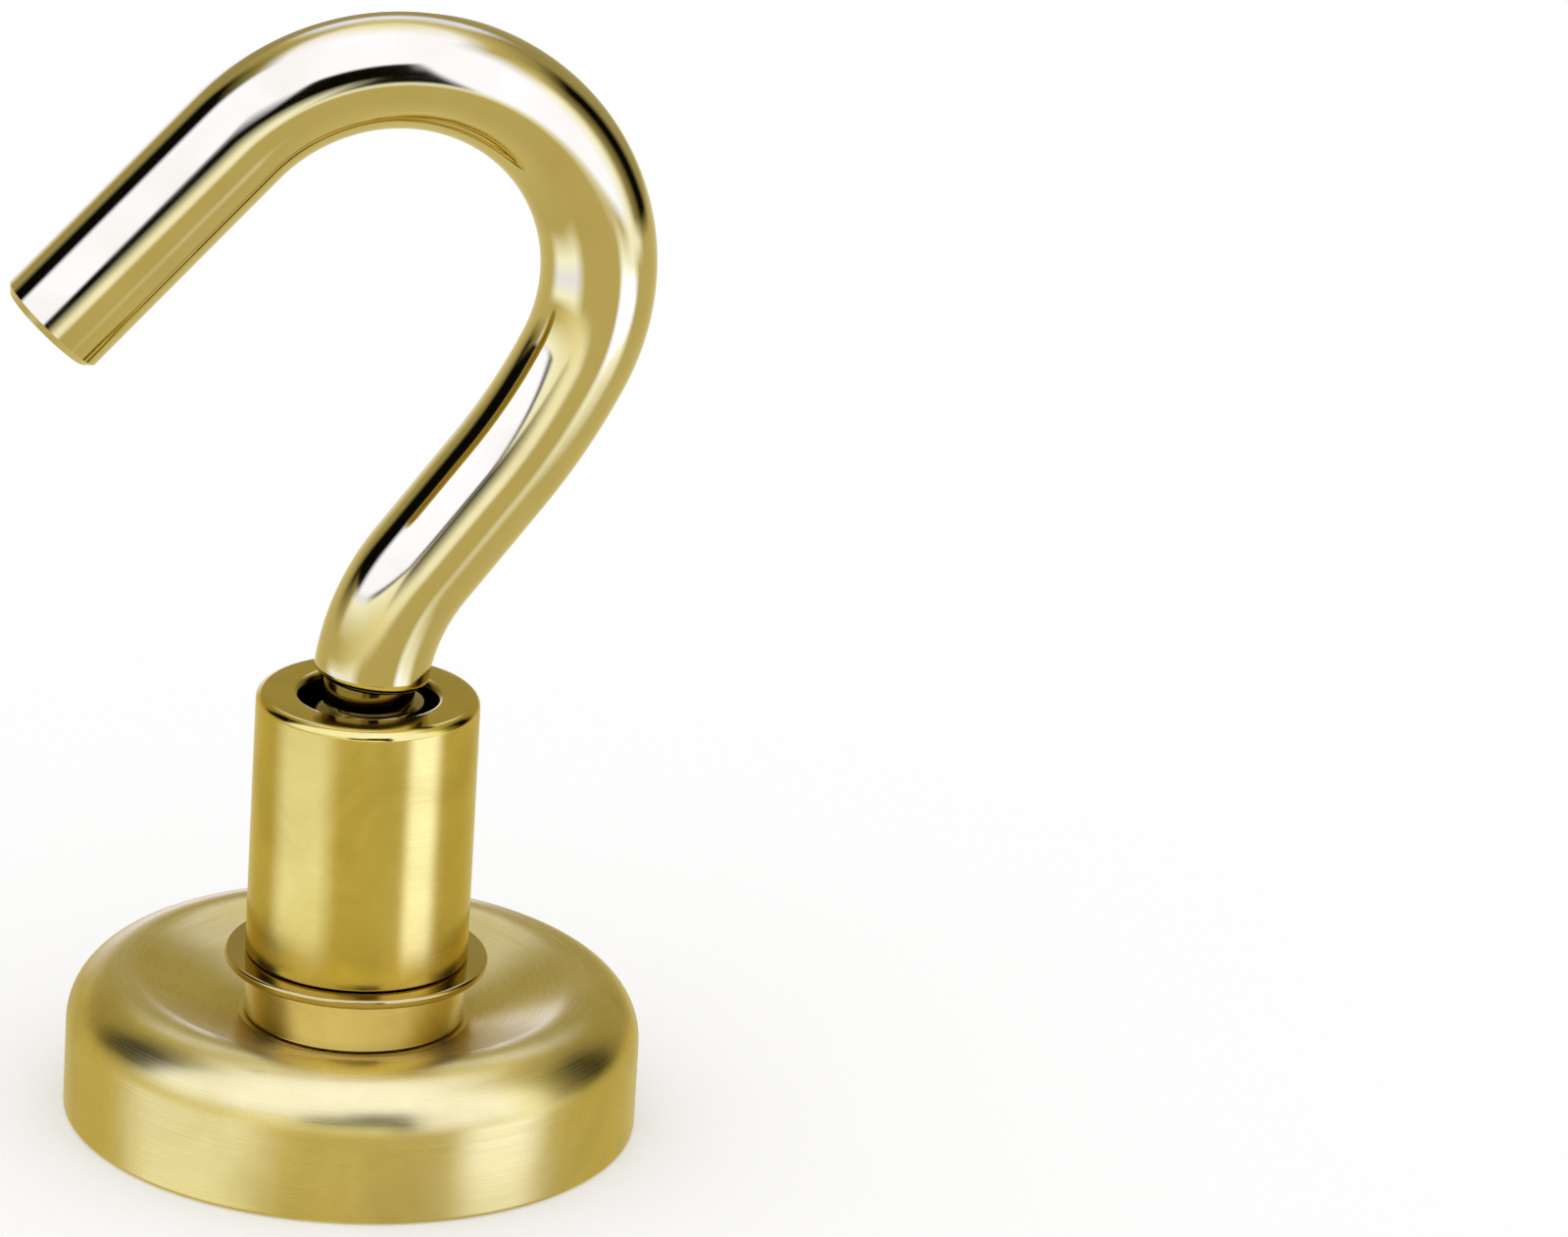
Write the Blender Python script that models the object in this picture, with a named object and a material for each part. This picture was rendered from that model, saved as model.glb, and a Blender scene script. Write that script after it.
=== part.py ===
# Magnetic hook: a magnet cup, a swivelling sleeve and a bent wire hook.
#
# The cup stands on its magnet face at z = 0, with the sleeve's axis along +Z
# through the origin. The hook lies in the X-Z plane, with its tip towards -X.
# Sleeve and hook turn together about +Z on the neck bush and its washer.

import math

import bmesh
import bpy
from mathutils import Matrix, Vector

# Magnet cup, lengths in metres
CUP_DIAMETER = 0.0200
CUP_HEIGHT = 0.0051
CUP_SHOULDER_RADIUS = 0.0020
CUP_DISH_DEPTH = 0.0014
CUP_FLOOR_THICKNESS = 0.0012
CUP_RIM_WALL = 0.0014
CUP_RIM_BEVEL = 0.00015
CUP_SEAT_MARGIN = 0.0002
RIVET_WEB_THICKNESS = 0.0007

# Magnet and the resin that holds it in the cup
RESIN_WIDTH = 0.0005
RESIN_RECESS = 0.00015
MAGNET_BEVEL = 0.00015

# Neck bush and washer that the sleeve turns on
NECK_DIAMETER = 0.00765
NECK_HEIGHT = 0.0019
NECK_BEVEL = 0.0001
WASHER_DIAMETER = 0.00918
WASHER_THICKNESS = 0.00033
WASHER_EDGE_RADIUS = 0.0001

# Sleeve, with its mouth for the hook and its riveted spigot
SLEEVE_DIAMETER = 0.00776
SLEEVE_LENGTH = 0.0096
SLEEVE_LIP_RADIUS = 0.00035
SLEEVE_FOOT_BEVEL = 0.0001
MOUTH_DIAMETER = 0.00475
MOUTH_DEPTH = 0.0026
MOUTH_EDGE_RADIUS = 0.0003
DRILL_POINT_ANGLE = math.radians(118)
SPIGOT_DIAMETER = 0.0048
RIVET_HEAD_DIAMETER = 0.0062
RIVET_DIMPLE_DIAMETER = 0.0026
RIVET_DIMPLE_DEPTH = 0.0006

# Hook wire and its bends, from the thread up to the tip
WIRE_DIAMETER = 0.0040
THREAD_DIAMETER = 0.00385
THREAD_ENGAGEMENT = 0.0070
THREAD_END_BEVEL = 0.0004
LOWER_BEND_DROP = 0.0002
RUNOUT_LENGTH = 0.0009
SHOULDER_TAPER = 0.00015
LOWER_BEND_RADIUS = 0.00785
LOWER_BEND_ANGLE = math.radians(37.2)
LIMB_LENGTH = 0.00424
UPPER_BEND_RADIUS = 0.0224
UPPER_BEND_ANGLE = math.radians(12.0)
CROOK_RADIUS = 0.00733
CROOK_ANGLE = math.radians(162.2)
ARM_LENGTH = 0.00916
TIP_BEVEL = 0.00025

# Clearances
SEAT_CLEARANCE = 0.00003
SWIVEL_CLEARANCE = 0.00008
THREAD_CLEARANCE = 0.00005
MAGNET_CLEARANCE = 0.00005

# Facets
CUP_STEPS = 64
TURNED_STEPS = 48
WIRE_STEPS = 24
FILLET_STEPS = 6
LIP_STEPS = 4
BEND_DEGREES_PER_STEP = 4.0
MERGE_DISTANCE = 0.000001
SMOOTH_ANGLE = math.radians(35)

# Heights that follow from the sizes above
NECK_SEAT_HEIGHT = CUP_HEIGHT - CUP_DISH_DEPTH
ROOF_HEIGHT = NECK_SEAT_HEIGHT - CUP_FLOOR_THICKNESS
RIVET_POCKET_TOP = NECK_SEAT_HEIGHT - RIVET_WEB_THICKNESS
NECK_FOOT = NECK_SEAT_HEIGHT + SEAT_CLEARANCE
NECK_TOP = NECK_FOOT + NECK_HEIGHT
WASHER_FOOT = NECK_TOP + SEAT_CLEARANCE
WASHER_TOP = WASHER_FOOT + WASHER_THICKNESS
SLEEVE_FOOT = WASHER_TOP + SEAT_CLEARANCE
SLEEVE_TOP = SLEEVE_FOOT + SLEEVE_LENGTH
MOUTH_FLOOR = SLEEVE_TOP - MOUTH_DEPTH
BEND_START = SLEEVE_TOP - LOWER_BEND_DROP
THREAD_END = SLEEVE_TOP - THREAD_ENGAGEMENT
SPIGOT_BORE_RADIUS = SPIGOT_DIAMETER / 2 + SWIVEL_CLEARANCE
POCKET_RADIUS = CUP_DIAMETER / 2 - CUP_RIM_WALL
MAGNET_RADIUS = POCKET_RADIUS - RESIN_WIDTH
MAGNET_THICKNESS = ROOF_HEIGHT - MAGNET_CLEARANCE
RIVET_HEAD_FOOT = ROOF_HEIGHT + MAGNET_CLEARANCE
RIVET_POCKET_RADIUS = RIVET_HEAD_DIAMETER / 2 + SWIVEL_CLEARANCE


def clear_scene():
    """Remove every object, so that the model stands alone."""
    for obj in list(bpy.data.objects):
        bpy.data.objects.remove(obj, do_unlink=True)


def make_material(name, colour, roughness, metallic):
    """A Principled material with one colour (linear), roughness and metallic value."""
    material = bpy.data.materials.new(name)
    material.use_nodes = True
    shader = material.node_tree.nodes["Principled BSDF"]
    shader.inputs["Base Color"].default_value = (*colour, 1.0)
    shader.inputs["Roughness"].default_value = roughness
    shader.inputs["Metallic"].default_value = metallic
    material.diffuse_color = (*colour, 1.0)
    return material


def add_object(name, bm, material, parent=None):
    """Turn a finished bmesh into a smooth-shaded object, in place under its parent."""
    bmesh.ops.remove_doubles(bm, verts=bm.verts, dist=MERGE_DISTANCE)
    bmesh.ops.recalc_face_normals(bm, faces=bm.faces)
    mesh = bpy.data.meshes.new(name)
    bm.to_mesh(mesh)
    bm.free()
    mesh.materials.append(material)
    mesh.shade_smooth()
    mesh.set_sharp_from_angle(angle=SMOOTH_ANGLE)
    obj = bpy.data.objects.new(name, mesh)
    bpy.context.collection.objects.link(obj)
    if parent is not None:
        obj.parent = parent
        mesh.transform(Matrix.Translation(-parent.location))
    return obj


def arc(centre, radius, start, end, steps):
    """Points (r, z) on a round stretch of a turned profile, angles in radians from +r."""
    points = []
    for index in range(steps + 1):
        angle = start + (end - start) * index / steps
        points.append((centre[0] + radius * math.cos(angle), centre[1] + radius * math.sin(angle)))
    return points


def turned(name, profile, material, steps, parent=None):
    """Spin a closed (r, z) profile about the Z axis."""
    bm = bmesh.new()
    verts = [bm.verts.new((r, 0, z)) for r, z in profile]
    edges = [bm.edges.new((verts[i - 1], verts[i])) for i in range(len(verts))]
    bmesh.ops.spin(
        bm, geom=verts + edges, cent=(0, 0, 0), axis=(0, 0, 1),
        angle=math.tau, steps=steps, use_merge=True,
    )
    bmesh.ops.dissolve_degenerate(bm, edges=bm.edges, dist=MERGE_DISTANCE)
    return add_object(name, bm, material, parent)


def make_cup(material):
    """Round-shouldered cup with a dished top, a magnet pocket below and a pocket for the rivet head."""
    radius = CUP_DIAMETER / 2
    seat_radius = NECK_DIAMETER / 2 + CUP_SEAT_MARGIN
    shoulder = Vector((radius - CUP_SHOULDER_RADIUS, CUP_HEIGHT - CUP_SHOULDER_RADIUS))
    # the dish is a cone that leaves the round shoulder along its tangent, down to the neck's seat
    to_seat = Vector((seat_radius, NECK_SEAT_HEIGHT)) - shoulder
    dish_start = math.atan2(to_seat.y, to_seat.x) - math.acos(CUP_SHOULDER_RADIUS / to_seat.length)
    profile = [
        (POCKET_RADIUS + CUP_RIM_BEVEL, 0),
        (radius - CUP_RIM_BEVEL, 0),
        (radius, CUP_RIM_BEVEL),
    ]
    profile += arc(shoulder, CUP_SHOULDER_RADIUS, 0, dish_start, 2 * FILLET_STEPS)
    profile += [
        (seat_radius, NECK_SEAT_HEIGHT),
        (SPIGOT_BORE_RADIUS, NECK_SEAT_HEIGHT),
        (SPIGOT_BORE_RADIUS, RIVET_POCKET_TOP),
        (RIVET_POCKET_RADIUS, RIVET_POCKET_TOP),
        (RIVET_POCKET_RADIUS, ROOF_HEIGHT),
        (POCKET_RADIUS, ROOF_HEIGHT),
        (POCKET_RADIUS, CUP_RIM_BEVEL),
    ]
    return turned("magnet_cup", profile, material, CUP_STEPS)


def make_magnet(material):
    """Disc magnet, flush with the cup's rim."""
    profile = [
        (0, 0),
        (MAGNET_RADIUS - MAGNET_BEVEL, 0),
        (MAGNET_RADIUS, MAGNET_BEVEL),
        (MAGNET_RADIUS, MAGNET_THICKNESS - MAGNET_BEVEL),
        (MAGNET_RADIUS - MAGNET_BEVEL, MAGNET_THICKNESS),
        (0, MAGNET_THICKNESS),
    ]
    return turned("disc_magnet", profile, material, CUP_STEPS)


def make_resin(material):
    """Ring of resin between the magnet and the cup's wall."""
    inner = MAGNET_RADIUS + MAGNET_CLEARANCE
    outer = POCKET_RADIUS - MAGNET_CLEARANCE
    profile = [
        (inner, RESIN_RECESS),
        (outer, RESIN_RECESS),
        (outer, MAGNET_THICKNESS),
        (inner, MAGNET_THICKNESS),
    ]
    return turned("resin_ring", profile, material, CUP_STEPS)


def make_neck(material):
    """Plain bush that lifts the washer above the cup's crest."""
    radius = NECK_DIAMETER / 2
    profile = [
        (SPIGOT_BORE_RADIUS, NECK_FOOT),
        (radius - NECK_BEVEL, NECK_FOOT),
        (radius, NECK_FOOT + NECK_BEVEL),
        (radius, NECK_TOP - NECK_BEVEL),
        (radius - NECK_BEVEL, NECK_TOP),
        (SPIGOT_BORE_RADIUS, NECK_TOP),
    ]
    return turned("neck_bush", profile, material, TURNED_STEPS)


def make_washer(material):
    """Thin washer with a rounded edge, which stands proud of bush and sleeve."""
    edge = WASHER_DIAMETER / 2 - WASHER_EDGE_RADIUS
    profile = [(SPIGOT_BORE_RADIUS, WASHER_FOOT)]
    profile += arc((edge, WASHER_FOOT + WASHER_EDGE_RADIUS), WASHER_EDGE_RADIUS, -math.pi / 2, 0, LIP_STEPS)
    profile += arc((edge, WASHER_TOP - WASHER_EDGE_RADIUS), WASHER_EDGE_RADIUS, 0, math.pi / 2, LIP_STEPS)
    profile += [(SPIGOT_BORE_RADIUS, WASHER_TOP)]
    return turned("bearing_washer", profile, material, TURNED_STEPS)


def make_sleeve(material, parent):
    """Tapped sleeve: a rounded mouth at the top, a spigot below with its end riveted over in the cup."""
    radius = SLEEVE_DIAMETER / 2
    mouth = MOUTH_DIAMETER / 2
    bore = THREAD_DIAMETER / 2 + THREAD_CLEARANCE
    bore_end = THREAD_END - THREAD_CLEARANCE
    drill_point = bore_end - bore / math.tan(DRILL_POINT_ANGLE / 2)
    spigot = SPIGOT_DIAMETER / 2
    head = RIVET_HEAD_DIAMETER / 2
    head_top = RIVET_POCKET_TOP - SEAT_CLEARANCE
    lip = (radius - SLEEVE_LIP_RADIUS, SLEEVE_TOP - SLEEVE_LIP_RADIUS)
    edge = (mouth + MOUTH_EDGE_RADIUS, SLEEVE_TOP - MOUTH_EDGE_RADIUS)
    profile = [
        (0, RIVET_HEAD_FOOT + RIVET_DIMPLE_DEPTH),
        (RIVET_DIMPLE_DIAMETER / 2, RIVET_HEAD_FOOT),
        (head, RIVET_HEAD_FOOT),
        (head, head_top),
        (spigot, head_top),
        (spigot, SLEEVE_FOOT),
        (radius - SLEEVE_FOOT_BEVEL, SLEEVE_FOOT),
        (radius, SLEEVE_FOOT + SLEEVE_FOOT_BEVEL),
    ]
    profile += arc(lip, SLEEVE_LIP_RADIUS, 0, math.pi / 2, LIP_STEPS)
    profile += arc(edge, MOUTH_EDGE_RADIUS, math.pi / 2, math.pi, LIP_STEPS)
    profile += [
        (mouth, MOUTH_FLOOR),
        (bore, MOUTH_FLOOR),
        (bore, bore_end),
        (0, drill_point),
    ]
    return turned("threaded_sleeve", profile, material, TURNED_STEPS, parent)


class WireFormer:
    """A wire drawn up along its own path in the X-Z plane: ring by ring, straight or bent."""

    def __init__(self, diameter, start):
        self.bm = bmesh.new()
        self.place = Vector((0, 0, start))
        self.heading = math.pi / 2
        self.diameter = diameter
        made = bmesh.ops.create_circle(
            self.bm, segments=WIRE_STEPS, radius=diameter / 2, matrix=Matrix.Translation(self.place),
        )
        self.ring = list({edge for vert in made["verts"] for edge in vert.link_edges})

    def resize(self, diameter):
        """Give the newest ring another diameter."""
        factor = diameter / self.diameter
        verts = list({vert for edge in self.ring for vert in edge.verts})
        bmesh.ops.scale(self.bm, verts=verts, vec=(factor,) * 3, space=Matrix.Translation(-self.place))
        self.diameter = diameter

    def straight(self, length):
        """Draw the wire on along its heading."""
        step = Vector((math.cos(self.heading), 0, math.sin(self.heading))) * length
        geom = bmesh.ops.extrude_edge_only(self.bm, edges=self.ring)["geom"]
        verts = {item for item in geom if isinstance(item, bmesh.types.BMVert)}
        bmesh.ops.translate(self.bm, verts=list(verts), vec=step)
        edges = [item for item in geom if isinstance(item, bmesh.types.BMEdge)]
        self.ring = [edge for edge in edges if set(edge.verts) <= verts]
        self.place = self.place + step

    def bend(self, radius, angle):
        """Bend the wire round a former: a positive angle turns it to the left, towards -X."""
        left = Vector((-math.sin(self.heading), 0, math.cos(self.heading)))
        pivot = self.place + left * math.copysign(radius, angle)
        steps = max(2, math.ceil(abs(math.degrees(angle)) / BEND_DEGREES_PER_STEP))
        made = bmesh.ops.spin(
            self.bm, geom=self.ring, cent=pivot, axis=(0, 1, 0), angle=-angle, steps=steps,
        )
        self.ring = [item for item in made["geom_last"] if isinstance(item, bmesh.types.BMEdge)]
        self.place = pivot + Matrix.Rotation(-angle, 3, "Y") @ (self.place - pivot)
        self.heading += angle

    def cap(self):
        """Close the newest ring with one flat face."""
        bmesh.ops.edgeloop_fill(self.bm, edges=self.ring)


def make_hook(material, parent):
    """Wire hook: a threaded end that stands in the sleeve, a leaning limb, the crook and its arm."""
    wire = WireFormer(THREAD_DIAMETER - 2 * THREAD_END_BEVEL, THREAD_END)
    wire.cap()
    wire.straight(THREAD_END_BEVEL)
    wire.resize(THREAD_DIAMETER)
    wire.straight(BEND_START - THREAD_END - THREAD_END_BEVEL)
    # the thread runs out on the start of the lower bend, at a shoulder
    runout_angle = RUNOUT_LENGTH / LOWER_BEND_RADIUS
    wire.bend(LOWER_BEND_RADIUS, -runout_angle)
    wire.straight(SHOULDER_TAPER)
    wire.resize(WIRE_DIAMETER)
    wire.bend(LOWER_BEND_RADIUS, runout_angle - LOWER_BEND_ANGLE)
    wire.straight(LIMB_LENGTH)
    wire.bend(UPPER_BEND_RADIUS, UPPER_BEND_ANGLE)
    wire.bend(CROOK_RADIUS, CROOK_ANGLE)
    wire.straight(ARM_LENGTH - TIP_BEVEL)
    wire.straight(TIP_BEVEL)
    wire.resize(WIRE_DIAMETER - 2 * TIP_BEVEL)
    wire.cap()
    return add_object("wire_hook", wire.bm, material, parent)


def main():
    clear_scene()
    satin_gold = make_material("satin_gold", (0.52, 0.37, 0.10), 0.34, 1.0)
    polished_gold = make_material("polished_gold", (0.62, 0.46, 0.16), 0.08, 1.0)
    magnet_nickel = make_material("magnet_nickel", (0.55, 0.55, 0.53), 0.25, 1.0)
    dark_resin = make_material("dark_resin", (0.06, 0.05, 0.04), 0.35, 0.0)

    make_cup(satin_gold)
    make_magnet(magnet_nickel)
    make_resin(dark_resin)
    make_neck(polished_gold)
    make_washer(polished_gold)

    swivel = bpy.data.objects.new("swivel_axis", None)
    swivel.location = (0, 0, WASHER_TOP)
    bpy.context.collection.objects.link(swivel)
    make_sleeve(satin_gold, swivel)
    make_hook(polished_gold, swivel)


main()
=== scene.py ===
# %% [markdown]
# This lesson dresses a small magnetic hook: a round magnet cup, a sleeve that swivels on it, and a
# bent wire hook screwed into the sleeve, all plated in brass gold. The solids come from the packed
# model, in metres, with the magnet face on the floor at z = 0. We keep that frame fixed and lay a
# finer piece over each solid, because bright plating shows every facet of a coarse mesh.

import math

import bmesh
import bpy
from mathutils import Matrix, Vector


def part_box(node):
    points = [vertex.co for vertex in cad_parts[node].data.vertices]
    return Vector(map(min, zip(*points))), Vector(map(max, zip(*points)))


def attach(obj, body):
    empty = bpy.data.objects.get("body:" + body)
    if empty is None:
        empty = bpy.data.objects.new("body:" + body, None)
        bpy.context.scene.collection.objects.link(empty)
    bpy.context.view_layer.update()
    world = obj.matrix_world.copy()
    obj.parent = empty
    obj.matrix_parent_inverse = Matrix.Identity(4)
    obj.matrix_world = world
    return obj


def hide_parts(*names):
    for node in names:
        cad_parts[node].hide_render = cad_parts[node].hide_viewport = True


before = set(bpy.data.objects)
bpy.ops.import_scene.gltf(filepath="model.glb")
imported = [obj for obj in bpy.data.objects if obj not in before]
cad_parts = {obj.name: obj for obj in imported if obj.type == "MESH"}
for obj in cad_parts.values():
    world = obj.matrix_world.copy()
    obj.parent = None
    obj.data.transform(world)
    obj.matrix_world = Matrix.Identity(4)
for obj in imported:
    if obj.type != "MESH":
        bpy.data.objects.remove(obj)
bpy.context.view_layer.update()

# %% [markdown]
# Turned pieces such as the cup and the sleeve come off a lathe, so half of their section is all
# that we need: a wire through a few corners, spun once round the Z axis. A real edge is never
# perfectly sharp. Each corner therefore carries its own rounding, and the round stretch is made by
# swinging one vertex about the rounding's centre, which gives a true arc at any corner angle.

# %% Draw a section
ARC_DEGREES = 6.0
MIN_ARC_STEPS = 3


def draw_section(corners):
    """A wire in the X-Z plane through (r, z, rounding) corners, in metres."""
    bm = bmesh.new()
    places = [Vector((r, 0, z)) for r, z, rounding in corners]
    pen = None
    for index, (r, z, rounding) in enumerate(corners):
        here = places[index]
        if rounding:
            back = (places[index - 1] - here).normalized()
            ahead = (places[(index + 1) % len(places)] - here).normalized()
            half = back.angle(ahead) / 2
            centre = here + (back + ahead).normalized() * rounding / math.sin(half)
            end = here + ahead * rounding / math.tan(half)
            here = here + back * rounding / math.tan(half)
        if pen is None:
            pen = bm.verts.new(here)
        else:
            pen = bmesh.ops.extrude_vert_indiv(bm, verts=[pen])["verts"][0]
            pen.co = here
        if rounding:
            turn = math.pi - 2 * half
            axis = (here - centre).cross(end - centre).normalized()
            steps = max(MIN_ARC_STEPS, math.ceil(math.degrees(turn) / ARC_DEGREES))
            made = bmesh.ops.spin(bm, geom=[pen], cent=centre, axis=axis, angle=turn, steps=steps)
            pen = [item for item in made["geom_last"] if isinstance(item, bmesh.types.BMVert)][0]
    bm.verts.ensure_lookup_table()
    if corners[0][0] > 0:
        bm.edges.new((pen, bm.verts[0]))
    return bm


# %% [markdown]
# Spun once round, the section becomes a skin. Its two ends meet in a seam, and points on the axis
# pile up in a pole, so doubles are merged and the faces are turned outwards afterwards. Smooth
# shading hides the small steps of the spin, and edges over a set angle stay sharp.

# %% Spin a section into a piece
def finish_piece(name, bm, sharp_degrees=30):
    """Merge doubles, turn the faces outwards and make a smooth object of the mesh."""
    bmesh.ops.remove_doubles(bm, verts=bm.verts, dist=1e-6)
    bmesh.ops.dissolve_degenerate(bm, edges=bm.edges, dist=1e-7)
    bmesh.ops.recalc_face_normals(bm, faces=bm.faces)
    open_edges = sum(not edge.is_manifold for edge in bm.edges)
    mesh = bpy.data.meshes.new(name)
    bm.to_mesh(mesh)
    bm.free()
    mesh.shade_smooth()
    mesh.set_sharp_from_angle(angle=math.radians(sharp_degrees))
    piece = bpy.data.objects.new(name, mesh)
    bpy.context.scene.collection.objects.link(piece)
    print(f"{name}: {len(mesh.polygons)} faces, {open_edges} open edges")
    return piece


def turn_piece(name, corners, steps=192):
    """Spin a section once round Z."""
    bm = draw_section(corners)
    bmesh.ops.spin(
        bm, geom=bm.verts[:] + bm.edges[:], cent=(0, 0, 0), axis=(0, 0, 1),
        angle=math.tau, steps=steps, use_merge=True,
    )
    return finish_piece(name, bm)


# %% [markdown]
# The cup is one turned shell: a straight wall, a round shoulder and a shallow dish that falls to
# the neck's seat. The dish leaves the shoulder along its tangent, so we work out its slope from the
# seat and the shoulder's circle. Below there is the pocket for the magnet, and above that a smaller
# pocket where the sleeve's spigot is riveted over.

# %% Magnet cup
MM = 0.001
cup_low, cup_high = (Vector(corner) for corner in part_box("magnet_cup"))
print("cup solid in mm:", [round(value / MM, 2) for value in cup_high - cup_low])
CRISP_EDGE = 0.03 * MM
SOFT_EDGE = 0.1 * MM
CUP_RADIUS = 10.0 * MM
CUP_HEIGHT = 5.1 * MM
RIM_OUTSIDE_EDGE = 0.15 * MM
RIM_INSIDE_EDGE = 0.12 * MM
SHOULDER = 2.0 * MM
SEAT_RADIUS = 4.025 * MM
SEAT_HEIGHT = 3.70 * MM
SEAT_EDGE = 0.05 * MM
BORE_RADIUS = 2.48 * MM
POCKET_RADIUS = 8.6 * MM
ROOF_HEIGHT = 2.5 * MM
RIVET_POCKET_RADIUS = 3.18 * MM
RIVET_POCKET_TOP = 3.0 * MM

centre_r = CUP_RADIUS - SHOULDER
centre_z = CUP_HEIGHT - SHOULDER
reach = math.hypot(SEAT_RADIUS - centre_r, SEAT_HEIGHT - centre_z)
normal = math.atan2(SEAT_HEIGHT - centre_z, SEAT_RADIUS - centre_r) - math.acos(SHOULDER / reach)
dish_slope = normal - math.pi / 2
crest = SEAT_HEIGHT + (CUP_RADIUS - SEAT_RADIUS) * math.tan(dish_slope)
print(f"cup: dish slopes {math.degrees(dish_slope):.1f} degrees")

magnet_cup = turn_piece("cup_shell", [
    (POCKET_RADIUS, 0, RIM_INSIDE_EDGE),
    (CUP_RADIUS, 0, RIM_OUTSIDE_EDGE),
    (CUP_RADIUS, crest, SHOULDER),
    (SEAT_RADIUS, SEAT_HEIGHT, SEAT_EDGE),
    (BORE_RADIUS, SEAT_HEIGHT, CRISP_EDGE),
    (BORE_RADIUS, RIVET_POCKET_TOP, CRISP_EDGE),
    (RIVET_POCKET_RADIUS, RIVET_POCKET_TOP, CRISP_EDGE),
    (RIVET_POCKET_RADIUS, ROOF_HEIGHT, CRISP_EDGE),
    (POCKET_RADIUS, ROOF_HEIGHT, SOFT_EDGE),
], steps=256)
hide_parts("magnet_cup")
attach(magnet_cup, "base")

# %% [markdown]
# The magnet fills the pocket from below, flush with the rim. It is a plain sintered disc with a
# small ground bevel. A ring of set resin holds it; set resin creeps up both walls, so its open face
# is a shallow hollow between them.

# %% Magnet and resin
MAGNET_RADIUS = 8.1 * MM
MAGNET_TOP = 2.45 * MM
MAGNET_EDGE = 0.15 * MM
magnet_plate = turn_piece("magnet_plate", [
    (0, 0, 0),
    (MAGNET_RADIUS, 0, MAGNET_EDGE),
    (MAGNET_RADIUS, MAGNET_TOP, MAGNET_EDGE),
    (0, MAGNET_TOP, 0),
], steps=160)
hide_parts("disc_magnet")
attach(magnet_plate, "base")

RESIN_INSIDE = 8.15 * MM
RESIN_MIDDLE = 8.35 * MM
RESIN_OUTSIDE = 8.55 * MM
RESIN_FACE = 0.15 * MM
RESIN_HOLLOW = 0.24 * MM
HOLLOW_ROUNDING = 0.3 * MM
resin_fill = turn_piece("resin_fill", [
    (RESIN_INSIDE, RESIN_FACE, 0),
    (RESIN_MIDDLE, RESIN_HOLLOW, HOLLOW_ROUNDING),
    (RESIN_OUTSIDE, RESIN_FACE, 0),
    (RESIN_OUTSIDE, MAGNET_TOP, CRISP_EDGE),
    (RESIN_INSIDE, MAGNET_TOP, CRISP_EDGE),
], steps=160)
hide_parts("resin_ring")
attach(resin_fill, "base")

# %% [markdown]
# Between cup and sleeve sit a short bush and a thin washer. Both are mirror bright, and both have
# only small roundings, so their edges catch a thin line of light.

# %% Neck and washer
NECK_RADIUS = 3.825 * MM
NECK_FOOT = 3.73 * MM
NECK_TOP = 5.63 * MM
neck_collar = turn_piece("neck_collar", [
    (BORE_RADIUS, NECK_FOOT, CRISP_EDGE),
    (NECK_RADIUS, NECK_FOOT, SOFT_EDGE),
    (NECK_RADIUS, NECK_TOP, SOFT_EDGE),
    (BORE_RADIUS, NECK_TOP, CRISP_EDGE),
])
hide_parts("neck_bush")
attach(neck_collar, "base")

WASHER_RADIUS = 4.59 * MM
WASHER_FOOT = 5.66 * MM
WASHER_TOP = 5.99 * MM
WASHER_TOP_EDGE = 0.12 * MM
washer_disc = turn_piece("washer_disc", [
    (BORE_RADIUS, WASHER_FOOT, CRISP_EDGE),
    (WASHER_RADIUS, WASHER_FOOT, SOFT_EDGE),
    (WASHER_RADIUS, WASHER_TOP, WASHER_TOP_EDGE),
    (BORE_RADIUS, WASHER_TOP, CRISP_EDGE),
])
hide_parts("bearing_washer")
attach(washer_disc, "base")

# %% [markdown]
# The sleeve carries the hook. Its mouth is bored wider than the thread, so that the wire's shoulder
# stands in a dark ring. Its spigot runs down through washer, bush and cup, and its end is riveted
# over inside the cup, by a punch that leaves a small cone in the middle.

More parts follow.
